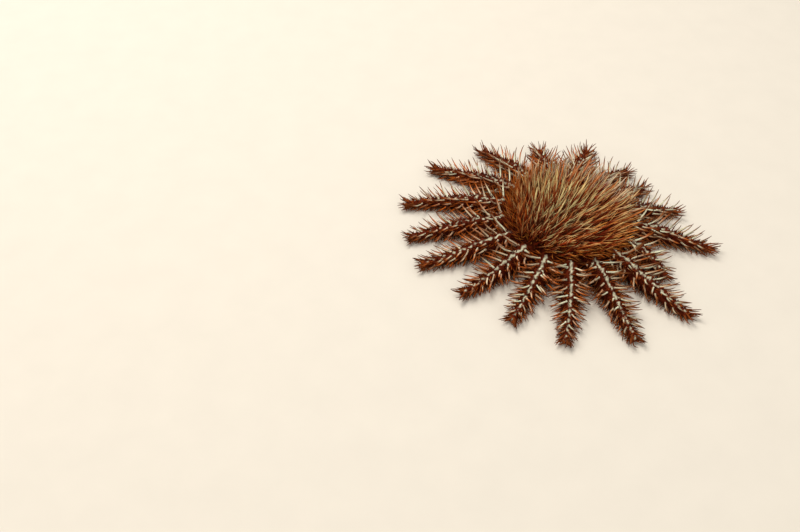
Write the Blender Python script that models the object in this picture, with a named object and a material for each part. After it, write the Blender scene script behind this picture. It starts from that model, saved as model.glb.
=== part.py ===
"""Crown-of-thorns starfish, life size, lying still on the floor.

Metres, +Z up. The origin is on the floor under the middle of the whole outline.
The disc and each arm are solids of their own, a hair apart, and every spine is
joined to the solid it grows from.
"""
import math
import random

import bmesh
import bpy
import numpy as np
from mathutils import Matrix, Vector

# The whole animal
MM = 0.001
GAP = 0.3 * MM
WELD = 0.001 * MM
ARM_COUNT = 17
ARM_STEP = 2.0 * math.pi / ARM_COUNT
FIRST_ARM = math.radians(-9.0)
SEED = 41

# The disc
DISC_APOTHEM = 58.0 * MM
DISC_RIM_HEIGHT = 17.5 * MM
DISC_DOME = 12.5 * MM
DISC_TOP_RINGS = (0.34, 0.62, 0.84, 1.0)
PARTS_PER_ARM = 4
DOME_ROUNDNESS = 2.2
FURROW_DEPTH = 4.5 * MM
FURROW_REACH = 0.55
FURROW_WIDTH_POWER = 1.6
FURROW_FADE_POWER = 1.5
MOUTH_RADIUS = 11.0 * MM
MOUTH_DEPTH = 6.0 * MM

# An arm: its width and height at the root, and their shares towards the tip
ARM_WIDTH = 21.0 * MM
ARM_HEIGHT = 17.5 * MM
ARM_TAPER = ((0.0, 1.0), (0.2, 0.92), (0.45, 0.76), (0.7, 0.56), (0.9, 0.37), (0.97, 0.27), (1.0, 0.16))
ARM_PLACES = (0.0, 0.03, 0.17, 0.31, 0.46, 0.61, 0.75, 0.87, 0.96, 1.0)
ARM_BEND_SHARE = 0.5
TIP_LIFT = 2.2 * MM
TIP_LIFT_FROM = 0.8
GROOVE_HALF = 3.0 * MM
GROOVE_DEPTH = 3.2 * MM

# Half of an arm's cross section, as shares of its width and height
HALF_SECTION = ((0.42, 0.0), (0.50, 0.27), (0.45, 0.62), (0.24, 0.90))

# Tip of each arm's flesh: direction in degrees and distance from the middle in mm
ARM_TIPS = (
    (-14.5, 140.0),
    (9.5, 114.0),
    (32.0, 101.0),
    (47.0, 107.0),
    (72.0, 119.0),
    (98.0, 116.0),
    (124.0, 136.0),
    (147.0, 154.0),
    (169.5, 161.0),
    (187.0, 156.0),
    (201.0, 154.0),
    (221.0, 141.0),
    (243.0, 140.0),
    (263.0, 151.0),
    (286.5, 154.0),
    (309.0, 155.0),
    (319.5, 111.0),
)

# Spines
SPINE_SIDES = 4
SPINE_RADIUS = 1.2 * MM
SPINE_MISS = 0.45 * MM
FLOOR_MISS = 2.0 * MM
ROOT_SHARE = 0.3
FLESH_FREE_FROM = 0.12
FLESH_SAMPLES = 25
SPINE_SAMPLES = 12
LENGTH_SPREAD = (0.90, 1.08)
TRIES = 40
STRAY = 0.10
STRAY_PER_TRY = 0.012
SHORTER_PER_TRY = 0.012
GOLDEN_ANGLE = math.pi * (3.0 - math.sqrt(5.0))

# Spines of the disc: upright in the middle, fanning outward, and swept to one
# side, most of all in front
DISC_SPINES = 112
DISC_SPINE_LENGTH = 30.0 * MM
DISC_SPINE_SUNK = 4.5 * MM
DISC_SPINE_REACH = 0.94
DISC_TURN_STRAY = 0.06
DISC_MIDDLE_TILT = 6.0
DISC_RIM_TILT = 34.0
DISC_RIM_SHORTER = 0.14
DISC_STREAM = np.array((0.38, 0.04))
DISC_SWEEP = 1.2
DISC_SWEPT_SIDE = np.array((0.3, -0.95))

# Spines of an arm: rows on both sides of its crest, and a fan at its tip
ARM_SPINE_LENGTH = 30.0 * MM
ARM_SPINE_SUNK = 3.2 * MM
ARM_SPINE_LEANS = ((0.0, 0.5), (0.25, 0.75), (0.6, 0.9), (0.85, 1.4), (1.0, 2.0))
ARM_TIP_SHORTER = 0.55
ROW_ACROSS = 0.46
ROW_LOW = 0.36
ROW_RISE = 0.56
ROOT_MISS = 4.6 * MM
LAST_PLACE = 0.95
FIRST_STEP = 0.4
PLACE_STRAY = 0.025
TIP_SPINES = 5
TIP_SPINE_LENGTH = 12.0 * MM
TIP_SPINE_SHARE = 0.85
TIP_FAN = 46.0
TIP_RISES = (0.25, 0.65)

# Each row of spines: angle of its roots round the arm, angle of its spines over
# the floor, spacing, and length share
SPINE_ROWS = (
    (78.0, 38.0, 9.5 * MM, 1.00),
    (40.0, 25.0, 11.0 * MM, 0.90),
    (8.0, 9.0, 13.5 * MM, 0.72),
)

SKIN_COLOUR = (0.23, 0.075, 0.035, 1.0)
SKIN_ROUGHNESS = 0.62


def arm_direction(arm):
    """Direction from the middle of the disc through the arm's root."""
    azimuth = FIRST_ARM + arm * ARM_STEP
    return np.array((math.cos(azimuth), math.sin(azimuth)))


def arm_frame(arm, place):
    """Middle, forward and side directions of an arm, seen from above."""
    out = arm_direction(arm)
    start = out * (DISC_APOTHEM + GAP)
    azimuth = math.radians(ARM_TIPS[arm][0])
    tip = np.array((math.cos(azimuth), math.sin(azimuth))) * ARM_TIPS[arm][1] * MM
    bend = start + out * ARM_BEND_SHARE * np.linalg.norm(tip - start)
    rest = 1.0 - place
    middle = start * rest ** 2 + bend * 2.0 * place * rest + tip * place ** 2
    forward = (bend - start) * rest + (tip - bend) * place
    forward = forward / np.linalg.norm(forward)
    side = np.array((-forward[1], forward[0]))
    return middle, forward, side


def arm_length(arm):
    """Straight length of an arm from its root to its tip."""
    return float(np.linalg.norm(arm_frame(arm, 1.0)[0] - arm_frame(arm, 0.0)[0]))


def arm_share(place):
    """Size of an arm's section at a place along it, as a share of its root's."""
    places, shares = zip(*ARM_TAPER)
    return float(np.interp(place, places, shares))


def arm_lift(place):
    """Height of an arm's underside, which curls up at the tip."""
    return TIP_LIFT * max(0.0, (place - TIP_LIFT_FROM) / (1.0 - TIP_LIFT_FROM)) ** 2


def disc_height(radius, azimuth):
    """Height of the disc's upper side, with furrows that run in between the arms."""
    local = (azimuth - FIRST_ARM + 0.5 * ARM_STEP) % ARM_STEP - 0.5 * ARM_STEP
    share = min(1.0, radius * math.cos(local) / DISC_APOTHEM)
    furrow = (abs(local) / (0.5 * ARM_STEP)) ** FURROW_WIDTH_POWER
    near_rim = max(0.0, (share - FURROW_REACH) / (1.0 - FURROW_REACH)) ** FURROW_FADE_POWER
    dome = DISC_DOME * (1.0 - share ** DOME_ROUNDNESS)
    return DISC_RIM_HEIGHT + dome - FURROW_DEPTH * furrow * near_rim


def unit(vector):
    """The vector made one long."""
    vector = np.array(vector, dtype=float)
    return vector / np.linalg.norm(vector)


def spine_gaps(start, end, radius, starts, ends, radii):
    """Gaps between one tapering spine and many others."""
    u = end - start
    v = ends - starts
    w = start - starts
    a = float(u @ u)
    b = v @ u
    c = np.einsum("ij,ij->i", v, v)
    d = w @ u
    e = np.einsum("ij,ij->i", v, w)
    s = np.clip((b * e - c * d) / np.maximum(a * c - b * b, 1e-14), 0.0, 1.0)
    t = np.clip((b * s + e) / c, 0.0, 1.0)
    s = np.clip((b * t - d) / a, 0.0, 1.0)
    nearest = w + s[:, None] * u - t[:, None] * v
    return np.sqrt(np.einsum("ij,ij->i", nearest, nearest)) - radius * (1.0 - s) - radii * (1.0 - t)


class Field:
    """The arms' flesh and every spine placed so far, to keep the nodes apart."""

    def __init__(self):
        self.spines = []
        self.nodes = []
        flesh = []
        for arm in range(ARM_COUNT):
            for place in np.linspace(0.0, 1.0, FLESH_SAMPLES):
                middle, forward, side = arm_frame(arm, place)
                share = arm_share(place)
                top = arm_lift(place) + share * ARM_HEIGHT
                flesh.append((arm, middle[0], middle[1], 0.5 * share * ARM_WIDTH, top))
        self.flesh = np.array(flesh)

    def misses_flesh(self, node, start, end, margin):
        """Whether a spine stays clear of the flesh of every other node."""
        others = self.flesh[self.flesh[:, 0] != node]
        for share in np.linspace(FLESH_FREE_FROM, 1.0, SPINE_SAMPLES):
            point = start + (end - start) * share
            away = np.hypot(others[:, 1] - point[0], others[:, 2] - point[1])
            if ((away < others[:, 3] + margin) & (point[2] < others[:, 4] + margin)).any():
                return False
            radius = math.hypot(point[0], point[1])
            if node >= 0 and radius < DISC_APOTHEM / math.cos(0.5 * ARM_STEP) + margin:
                if point[2] < disc_height(radius, FIRST_ARM) + margin:
                    return False
        return True

    def misses_spines(self, node, start, end, radius):
        """Whether a spine stays clear of all spines, its neighbours' roots apart."""
        if not self.spines:
            return True
        starts, ends, radii = (np.array(part) for part in zip(*self.spines))
        own = np.array(self.nodes) == node
        if (spine_gaps(start, end, radius, starts, ends, radii)[~own] < SPINE_MISS).any():
            return False
        free_start = start + (end - start) * ROOT_SHARE
        free_radius = radius * (1.0 - ROOT_SHARE)
        return not (spine_gaps(free_start, end, free_radius, starts, ends, radii)[own] < 0.0).any()

    def place(self, chance, node, start, heading, length, radius):
        """Find a spine near the wished heading that misses the rest, or give up."""
        for attempt in range(TRIES):
            stray = np.array([chance.gauss(0.0, STRAY + STRAY_PER_TRY * attempt) for axis in range(3)])
            reach = length * chance.uniform(*LENGTH_SPREAD) * (1.0 - SHORTER_PER_TRY * attempt)
            end = start + unit(unit(heading) + stray) * reach
            free = end[2] > FLOOR_MISS
            free = free and self.misses_flesh(node, start, end, radius + SPINE_MISS)
            free = free and self.misses_spines(node, start, end, radius)
            if free:
                self.spines.append((start, end, radius))
                self.nodes.append(node)
                return


def disc_spine_line(azimuth, share, reach):
    """Root and heading of a spine of the disc, at a share of the way to the rim."""
    out = np.array((math.cos(azimuth), math.sin(azimuth)))
    radius = reach * share * DISC_APOTHEM
    start = np.array((*(out * radius), disc_height(radius, azimuth)))
    tilt = math.radians(DISC_MIDDLE_TILT + (DISC_RIM_TILT - DISC_MIDDLE_TILT) * share)
    sweep = 1.0 + DISC_SWEEP * max(0.0, share * float(out @ DISC_SWEPT_SIDE))
    return start, unit((*(out * math.sin(tilt) + DISC_STREAM * sweep), math.cos(tilt)))


def place_disc_spines(field, chance):
    """Long spines all over the disc."""
    for number in range(DISC_SPINES):
        share = math.sqrt((number + 0.5) / DISC_SPINES)
        azimuth = number * GOLDEN_ANGLE + chance.uniform(-DISC_TURN_STRAY, DISC_TURN_STRAY)
        start, heading = disc_spine_line(azimuth, share, DISC_SPINE_REACH)
        length = DISC_SPINE_LENGTH * (1.0 - DISC_RIM_SHORTER * share)
        field.place(chance, -1, start, heading, length, SPINE_RADIUS)


def row_root(arm, place, angle, way):
    """Where on an arm's flesh a spine stands, at an angle round one of its sides."""
    middle, forward, side = arm_frame(arm, place)
    share = arm_share(place)
    turn = math.radians(angle)
    flat = middle + side * way * ROW_ACROSS * math.cos(turn) * share * ARM_WIDTH
    level = arm_lift(place) + share * ARM_HEIGHT * (ROW_LOW + ROW_RISE * math.sin(turn))
    return np.array((*flat, level))


def spine_lean(place):
    """How far the spines at a place along an arm lean towards its tip."""
    places, leans = zip(*ARM_SPINE_LEANS)
    return float(np.interp(place, places, leans))


def place_arm_spines(field, chance, arm):
    """Rows of spines on both sides of one arm, leaning outward, and a fan at its tip."""
    length = arm_length(arm)
    for angle, rise, spacing, length_share in SPINE_ROWS:
        steps = round(length / spacing)
        upward = math.sin(math.radians(rise))
        sideways = math.cos(math.radians(rise))
        for step in range(2 * steps):
            way = 1.0 if step % 2 else -1.0
            place = (0.5 * step + FIRST_STEP) / steps + chance.uniform(-PLACE_STRAY, PLACE_STRAY)
            place = min(LAST_PLACE, max(ROOT_MISS / length, place))
            middle, forward, side = arm_frame(arm, place)
            heading = (*(side * way * sideways + forward * spine_lean(place)), upward)
            reach = ARM_SPINE_LENGTH * length_share * (1.0 - ARM_TIP_SHORTER * place)
            field.place(chance, arm, row_root(arm, place, angle, way), heading, reach, SPINE_RADIUS)
    middle, forward, side = arm_frame(arm, LAST_PLACE)
    level = arm_lift(LAST_PLACE) + 0.5 * arm_share(LAST_PLACE) * ARM_HEIGHT
    for number in range(TIP_SPINES):
        fan = math.radians(TIP_FAN * (2.0 * number / (TIP_SPINES - 1) - 1.0))
        heading = unit((*(forward * math.cos(fan) + side * math.sin(fan)), TIP_RISES[number % 2]))
        start = np.array((*middle, level)) + heading * SPINE_RADIUS
        field.place(chance, arm, start, heading, TIP_SPINE_LENGTH, TIP_SPINE_SHARE * SPINE_RADIUS)


def skin_material():
    """Rust-brown skin."""
    material = bpy.data.materials.new("starfish_skin")
    material.use_nodes = True
    shader = material.node_tree.nodes["Principled BSDF"]
    shader.inputs["Base Color"].default_value = SKIN_COLOUR
    shader.inputs["Roughness"].default_value = SKIN_ROUGHNESS
    shader.inputs["Metallic"].default_value = 0.0
    return material


def section_curve():
    """An arm's cross section at its root: flat feet beside a groove, and a ridge."""
    groove_share = GROOVE_HALF / ARM_WIDTH
    right = list(HALF_SECTION)
    left = [(-across, up) for across, up in reversed(right)]
    underside = [(-groove_share, 0.0), (0.0, GROOVE_DEPTH / ARM_HEIGHT), (groove_share, 0.0)]
    outline = right + [(0.0, 1.0)] + left + underside
    curve = bpy.data.curves.new("arm_section", "CURVE")
    curve.dimensions = "2D"
    spline = curve.splines.new("POLY")
    spline.points.add(len(outline) - 1)
    for point, (across, up) in zip(spline.points, outline):
        point.co = (across * ARM_WIDTH, up * ARM_HEIGHT, 0.0, 1.0)
    spline.use_cyclic_u = True
    return bpy.data.objects.new("arm_section", curve)


def arm_mesh(arm, section, root):
    """An arm's flesh: the section drawn along the arm's line, smaller to the tip."""
    curve = bpy.data.curves.new("arm_line", "CURVE")
    curve.dimensions = "3D"
    curve.twist_mode = "Z_UP"
    curve.bevel_mode = "OBJECT"
    curve.bevel_object = section
    curve.use_fill_caps = True
    spline = curve.splines.new("POLY")
    spline.points.add(len(ARM_PLACES) - 1)
    for point, place in zip(spline.points, ARM_PLACES):
        middle, forward, side = arm_frame(arm, place)
        at = root.inverted() @ Vector((*middle, arm_lift(place)))
        point.co = (*at, 1.0)
        point.radius = arm_share(place)
    line = bpy.data.objects.new("arm_line", curve)
    bpy.context.scene.collection.objects.link(line)
    view = bpy.context.evaluated_depsgraph_get()
    mesh = bpy.data.meshes.new_from_object(line.evaluated_get(view))
    bpy.data.objects.remove(line)
    return mesh


def disc_mesh():
    """The disc's flesh: a profile turned about the middle, then given its sides."""
    low_rings = (1.0, MOUTH_RADIUS / DISC_APOTHEM)
    profile = [(0.0, 1.0)]
    profile += [(share, 1.0) for share in DISC_TOP_RINGS]
    profile += [(share, 0.0) for share in low_rings]
    profile += [(0.0, 0.0)]
    shape = bmesh.new()
    points = [shape.verts.new((share, 0.0, level)) for share, level in profile]
    edges = [shape.edges.new(pair) for pair in zip(points, points[1:])]
    turn = PARTS_PER_ARM * ARM_COUNT
    bmesh.ops.spin(
        shape,
        geom=points + edges,
        cent=(0.0, 0.0, 0.0),
        axis=(0.0, 0.0, 1.0),
        angle=2.0 * math.pi,
        steps=turn,
        use_merge=True,
    )
    bmesh.ops.remove_doubles(shape, verts=shape.verts, dist=WELD)
    half_side = DISC_APOTHEM * math.tan(0.5 * ARM_STEP)
    for vertex in shape.verts:
        share = math.hypot(vertex.co.x, vertex.co.y)
        upper = vertex.co.z > 0.5
        if share < WELD:
            vertex.co = (0.0, 0.0, disc_height(0.0, 0.0) if upper else MOUTH_DEPTH)
            continue
        step = round(math.atan2(vertex.co.y, vertex.co.x) / (2.0 * math.pi) * turn)
        arm, part = divmod(step + 1, PARTS_PER_ARM)
        quarter = 0.5 * half_side if upper else GROOVE_HALF
        across = (-quarter, 0.0, quarter, half_side)[part] * share
        azimuth = FIRST_ARM + arm * ARM_STEP + math.atan2(across, DISC_APOTHEM * share)
        radius = math.hypot(across, DISC_APOTHEM * share)
        level = disc_height(radius, azimuth) if upper else (GROOVE_DEPTH if part == 1 else 0.0)
        vertex.co = (radius * math.cos(azimuth), radius * math.sin(azimuth), level)
    mesh = bpy.data.meshes.new("disc")
    shape.to_mesh(mesh)
    shape.free()
    return mesh


def close_mesh(mesh):
    """Weld a mesh's caps and turn its faces outward."""
    shape = bmesh.new()
    shape.from_mesh(mesh)
    bmesh.ops.remove_doubles(shape, verts=shape.verts, dist=WELD)
    bmesh.ops.recalc_face_normals(shape, faces=shape.faces)
    bmesh.ops.triangulate(shape, faces=shape.faces)
    shape.to_mesh(mesh)
    shape.free()


def spine_mesh(start, end, radius, sunk, turn):
    """One spine: a few-sided cone whose wide end is sunk in the flesh."""
    start = Vector(start)
    end = Vector(end)
    heading = (end - start).normalized()
    root = start - heading * sunk
    place = Matrix.Translation(0.5 * (root + end))
    aim = heading.to_track_quat("Z", "Y").to_matrix().to_4x4()
    shape = bmesh.new()
    bmesh.ops.create_cone(
        shape,
        cap_ends=True,
        segments=SPINE_SIDES,
        radius1=radius,
        radius2=0.0,
        depth=(end - root).length,
        matrix=place @ aim @ Matrix.Rotation(turn, 4, "Z"),
    )
    bmesh.ops.remove_doubles(shape, verts=shape.verts, dist=WELD)
    mesh = bpy.data.meshes.new("spine")
    shape.to_mesh(mesh)
    shape.free()
    return mesh


def keep_largest(mesh):
    """Keep only the closed surface with the most faces."""
    shape = bmesh.new()
    shape.from_mesh(mesh)
    bmesh.ops.remove_doubles(shape, verts=shape.verts, dist=0.1 * WELD)
    bmesh.ops.dissolve_degenerate(shape, edges=shape.edges, dist=0.1 * WELD)
    bmesh.ops.triangulate(shape, faces=shape.faces)
    left = set(shape.faces)
    pieces = []
    while left:
        piece = [left.pop()]
        for face in piece:
            for edge in face.edges:
                fresh = [near for near in edge.link_faces if near in left]
                left.difference_update(fresh)
                piece.extend(fresh)
        pieces.append(piece)
    pieces.sort(key=len)
    loose = [face for piece in pieces[:-1] for face in piece]
    bmesh.ops.delete(shape, geom=loose, context="FACES")
    shape.to_mesh(mesh)
    shape.free()


def join_spines(body, spines, chance):
    """Join spines to the flesh they grow from as one closed surface."""
    group = bpy.data.collections.new("spines_" + body.name)
    bpy.context.scene.collection.children.link(group)
    into_body = body.matrix_world.inverted()
    for start, end, radius in spines:
        sunk = DISC_SPINE_SUNK if body.name == "disc" else ARM_SPINE_SUNK * radius / SPINE_RADIUS
        mesh = spine_mesh(into_body @ Vector(start), into_body @ Vector(end), radius, sunk, chance.random())
        spine = bpy.data.objects.new("spine", mesh)
        spine.matrix_world = body.matrix_world
        group.objects.link(spine)
    union = body.modifiers.new("union", "BOOLEAN")
    union.operation = "UNION"
    union.operand_type = "COLLECTION"
    union.collection = group
    union.solver = "MANIFOLD"
    view = bpy.context.evaluated_depsgraph_get()
    joined = bpy.data.meshes.new_from_object(body.evaluated_get(view))
    body.modifiers.clear()
    body.data = joined
    for spine in list(group.objects):
        bpy.data.objects.remove(spine)
    bpy.data.collections.remove(group)
    keep_largest(body.data)


def add_node(name, mesh, matrix, material, home):
    """A named solid in its place, with its material."""
    close_mesh(mesh)
    mesh.materials.clear()
    mesh.materials.append(material)
    node = bpy.data.objects.new(name, mesh)
    home.objects.link(node)
    node.matrix_world = matrix
    return node


def centre_over_origin(nodes, middle):
    """Move the animal so that the middle of its outline stands over the origin."""
    corners = np.array([tuple(node.matrix_world @ point.co) for node in nodes for point in node.data.vertices])
    shift = -0.5 * (corners.min(axis=0) + corners.max(axis=0))
    middle.location = (shift[0], shift[1], 0.0)
    print("middle of the disc at", [round(value, 5) for value in shift[:2]])


def build():
    """Make the disc and the arms with their spines, and centre them."""
    for old in list(bpy.data.objects):
        bpy.data.objects.remove(old)
    home = bpy.data.collections.new("starfish")
    bpy.context.scene.collection.children.link(home)
    material = skin_material()
    chance = random.Random(SEED)
    field = Field()
    place_disc_spines(field, chance)
    for arm in range(ARM_COUNT):
        place_arm_spines(field, chance, arm)
    section = section_curve()
    nodes = [add_node("disc", disc_mesh(), Matrix.Identity(4), material, home)]
    for arm in range(ARM_COUNT):
        root = Matrix.Rotation(FIRST_ARM + arm * ARM_STEP, 4, "Z")
        root = root @ Matrix.Translation((DISC_APOTHEM + GAP, 0.0, 0.0))
        name = "arm_%02d" % (arm + 1)
        nodes.append(add_node(name, arm_mesh(arm, section, root), root, material, home))
    bpy.data.objects.remove(section)
    bpy.context.view_layer.update()
    for number, node in enumerate(nodes, start=-1):
        spines = [spine for spine, of in zip(field.spines, field.nodes) if of == number]
        join_spines(node, spines, chance)
    middle = bpy.data.objects.new("middle", None)
    home.objects.link(middle)
    for node in nodes:
        node.parent = middle
    centre_over_origin(nodes, middle)
    bpy.context.view_layer.update()
    print("spines", len(field.spines), "triangles", sum(len(node.data.polygons) for node in nodes))


build()
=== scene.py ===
"""Looks of the crown-of-thorns starfish: skin, spines, small spines, tube feet, light.

Metres, +Z up. One skin stands for the flesh of the disc and the arms, and fine
spines stand for the solids' plain ones, at the same places and more densely.
"""
import math
import random

import bmesh
import bpy
import numpy as np
from mathutils import Euler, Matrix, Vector


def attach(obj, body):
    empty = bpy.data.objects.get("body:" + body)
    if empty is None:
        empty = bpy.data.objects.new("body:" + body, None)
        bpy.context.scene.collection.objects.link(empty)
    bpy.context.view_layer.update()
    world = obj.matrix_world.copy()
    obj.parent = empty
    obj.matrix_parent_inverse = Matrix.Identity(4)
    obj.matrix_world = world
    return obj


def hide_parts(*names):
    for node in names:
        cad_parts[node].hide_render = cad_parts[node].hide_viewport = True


# The whole animal
MM = 0.001
GAP = 0.3 * MM
ARM_COUNT = 17
ARM_STEP = 2.0 * math.pi / ARM_COUNT
FIRST_ARM = math.radians(-9.0)
SEED = 41

# The disc
DISC_APOTHEM = 58.0 * MM
DISC_RIM_HEIGHT = 17.5 * MM
DISC_DOME = 12.5 * MM
DOME_ROUNDNESS = 2.2
FURROW_DEPTH = 4.5 * MM
FURROW_REACH = 0.55
FURROW_WIDTH_POWER = 1.6
FURROW_FADE_POWER = 1.5
MOUTH_RADIUS = 11.0 * MM
MOUTH_DEPTH = 6.0 * MM

# An arm: its width and height at the root, and their shares towards the tip
ARM_WIDTH = 21.0 * MM
ARM_HEIGHT = 17.5 * MM
ARM_TAPER = ((0.0, 1.0), (0.2, 0.92), (0.45, 0.76), (0.7, 0.56), (0.9, 0.37), (0.97, 0.27), (1.0, 0.16))
ARM_BEND_SHARE = 0.5
TIP_LIFT = 2.2 * MM
TIP_LIFT_FROM = 0.8
GROOVE_HALF = 3.0 * MM
GROOVE_DEPTH = 3.2 * MM
HALF_SECTION = ((0.42, 0.0), (0.50, 0.27), (0.45, 0.62), (0.24, 0.90))

# Tip of each arm's flesh: direction in degrees and distance from the middle in mm
ARM_TIPS = (
    (-14.5, 140.0), (9.5, 114.0), (32.0, 101.0), (47.0, 107.0), (72.0, 119.0), (98.0, 116.0),
    (124.0, 136.0), (147.0, 154.0), (169.5, 161.0), (187.0, 156.0), (201.0, 154.0), (221.0, 141.0),
    (243.0, 140.0), (263.0, 151.0), (286.5, 154.0), (309.0, 155.0), (319.5, 111.0),
)

# Spines, as the solids have them
SPINE_RADIUS = 1.2 * MM
SPINE_MISS = 0.45 * MM
FLOOR_MISS = 2.0 * MM
ROOT_SHARE = 0.3
FLESH_FREE_FROM = 0.12
FLESH_SAMPLES = 25
SPINE_SAMPLES = 12
LENGTH_SPREAD = (0.90, 1.08)
TRIES = 40
STRAY = 0.10
STRAY_PER_TRY = 0.012
SHORTER_PER_TRY = 0.012
GOLDEN_ANGLE = math.pi * (3.0 - math.sqrt(5.0))

# Spines of the disc: fanning outward and swept to one side, most of all in front
DISC_SPINES = 112
DISC_SPINE_LENGTH = 30.0 * MM
DISC_SPINE_SUNK = 4.5 * MM
DISC_SPINE_REACH = 0.94
DISC_TURN_STRAY = 0.06
DISC_MIDDLE_TILT = 6.0
DISC_RIM_TILT = 34.0
DISC_RIM_SHORTER = 0.14
DISC_STREAM = np.array((0.38, 0.04))
DISC_SWEEP = 1.2
DISC_SWEPT_SIDE = np.array((0.3, -0.95))

# Spines of an arm: rows on both sides of its crest, and a fan at its tip
ARM_SPINE_LENGTH = 30.0 * MM
ARM_SPINE_SUNK = 3.2 * MM
ARM_SPINE_LEANS = ((0.0, 0.5), (0.25, 0.75), (0.6, 0.9), (0.85, 1.4), (1.0, 2.0))
ARM_TIP_SHORTER = 0.55
ROW_ACROSS = 0.46
ROW_LOW = 0.36
ROW_RISE = 0.56
ROOT_MISS = 4.6 * MM
LAST_PLACE = 0.95
FIRST_STEP = 0.4
PLACE_STRAY = 0.025
TIP_SPINES = 5
TIP_SPINE_LENGTH = 12.0 * MM
TIP_SPINE_SHARE = 0.85
TIP_FAN = 46.0
TIP_RISES = (0.25, 0.65)

# Each row: angle of its roots round the arm, of its spines over the floor, spacing, length
SPINE_ROWS = (
    (78.0, 38.0, 9.5 * MM, 1.00),
    (40.0, 25.0, 11.0 * MM, 0.90),
    (8.0, 9.0, 13.5 * MM, 0.72),
)

# Finer spines of the arms: angle of each row's roots, and of its spines over the floor
FINE_ROWS = ((60.0, 33.0), (28.0, 19.0), (2.0, 6.0))
CREST_FINE_ROWS = ((84.0, 52.0), (70.0, 42.0))
CREST_FINE_SHORTER = 0.48
FINE_SPACING = 4.6 * MM
FINE_STEP_SHARES = (0.1, 0.9)
FINE_TURN_STRAY = 9.0
FINE_ARM_RADIUS = 0.42 * MM
FINE_ARM_LENGTHS = (0.40, 0.75)
FINE_STRAY = 0.15
FINE_ARM_RIGHT_SHARE = 0.6
TIP_THINNER = 0.25

# Finer spines of the disc, fewer to its right
FINE_DISC_SPINES = 1150
FINE_DISC_RADIUS = 0.38 * MM
FINE_DISC_LENGTHS = (0.38, 1.0)
FINE_DISC_STRAY = 0.21
FINE_DISC_REACH = 0.98
FINE_RIGHT_FROM = 0.1
FINE_RIGHT_SHARE = 0.8

# Short spines that stand out all round the disc's rim
RIM_SPINES = 420
RIM_SHARES = (0.80, 1.02)
RIM_LEAN = 0.65
RIM_LENGTHS = (0.30, 0.75)
RADIUS_SPREAD = (0.85, 1.15)

# The fringe of short spines along the foot of each arm
FRINGE_SPACING = 2.3 * MM
FRINGE_STEP_SHARES = (0.2, 0.8)
FRINGE_LAST_PLACE = 0.99
FRINGE_LENGTH = 8.5 * MM
FRINGE_LENGTHS = (0.7, 1.1)
FRINGE_TIP_SHORTER = 0.4
FRINGE_RADIUS = 0.42 * MM
FRINGE_LEVEL = 2.6 * MM
FRINGE_LEAN = 0.35
FRINGE_LEAN_STRAY = 0.2
FRINGE_RISES = (-0.2, 0.3)

# Small soft fingers of the skin between the spines
DOWN_COUNT = 6500
DOWN_LENGTHS = (1.2 * MM, 3.0 * MM)
DOWN_RADIUS = 0.40 * MM
DOWN_STRAY = 0.3
DOWN_FACING = -0.35
DOWN_ABOVE = 3.0 * MM

# Tube feet in the grooves, and small spines round the mouth
FEET_SPACING = 3.0 * MM
FEET_LAST_PLACE = 0.92
FEET_ASIDE = 1.2 * MM
FEET_SPLAY = 0.5 * MM
FEET_STRAY = 0.6 * MM
FEET_ROOT_LEVEL = 2.3 * MM
FEET_SOLE_LEVEL = 0.25 * MM
FEET_RADIUS = 0.55 * MM
MOUTH_SPINE_OUT = 0.4 * MM
MOUTH_SPINE_LEVELS = (1.8 * MM, 1.2 * MM)
MOUTH_SPINE_REACH = 0.45
MOUTH_SPINE_RADIUS = 0.7 * MM

# How thick each kind of spine is along its length
LARGE_PROFILE = (
    (0.0, 1.0), (0.01, 1.60), (0.06, 1.10), (0.15, 0.84), (0.19, 0.60),
    (0.23, 0.70), (0.45, 0.64), (0.66, 0.52), (0.84, 0.36), (0.95, 0.20),
)
FINE_PROFILE = ((0.0, 1.0), (0.02, 1.3), (0.12, 1.0), (0.45, 0.92), (0.72, 0.66), (0.90, 0.36))
FRINGE_PROFILE = ((0.0, 1.0), (0.5, 0.9), (0.85, 0.55))
DOWN_PROFILE = ((0.0, 1.0), (0.35, 1.0), (0.8, 0.7))
FOOT_PROFILE = ((0.0, 1.0), (0.3, 0.8), (0.75, 0.75), (0.93, 1.3))

# Which way a spine bends: away from a line, and turned aside by an angle
BEND_FROM = (0.05, 0.03, 1.0)
BEND_SWING = 0.9

# Where the middle of the disc stands in the frame
MIDDLE = np.array((9.75 * MM, 16.87 * MM, 0.0))

# The photograph's view: pixel of the disc's middle on the floor, and the camera
PHOTO_SIZE = (800, 532)
MIDDLE_PIXEL = (565.0, 228.0)
FOCAL_PIXELS = 966.0
CAMERA_ELEVATION = 46.0
CAMERA_DISTANCE = 0.966
SENSOR_WIDTH = 36.0

# Colours, linear
RUST = (0.092, 0.011, 0.002)
# painted shade: near-black laid low on the arms' flanks and in the disc's furrows
PAINTED_SHADE = (0.011, 0.002, 0.001)
# pale of the crest and its spines' feet, made brighter to stand partly for painted highlight
PALE_AND_HIGHLIGHT = (0.76, 0.77, 0.54)
BROWN = (0.60, 0.135, 0.016)
DUSK = (0.30, 0.120, 0.040)
POINT = (0.10, 0.026, 0.007)
TIP = (0.21, 0.050, 0.010)
OLIVE = (0.76, 0.68, 0.33)
TAN = (0.76, 0.56, 0.23)
GINGER = (0.84, 0.33, 0.060)
MAUVE = (0.57, 0.48, 0.36)
UMBER = (0.50, 0.24, 0.085)
UNDER = (0.42, 0.32, 0.20)
AMBER = (0.68, 0.36, 0.11)
FLOOR = (0.775, 0.712, 0.612)

# How much skin and spines reflect, and the scale and detail of their mottling
SHEEN = 0.05
MOTTLE_NOISE = (160.0, 4.0)
MOTTLE_RANGE = (0.3, 0.7)
BUMP_STRENGTH = 0.6

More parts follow.
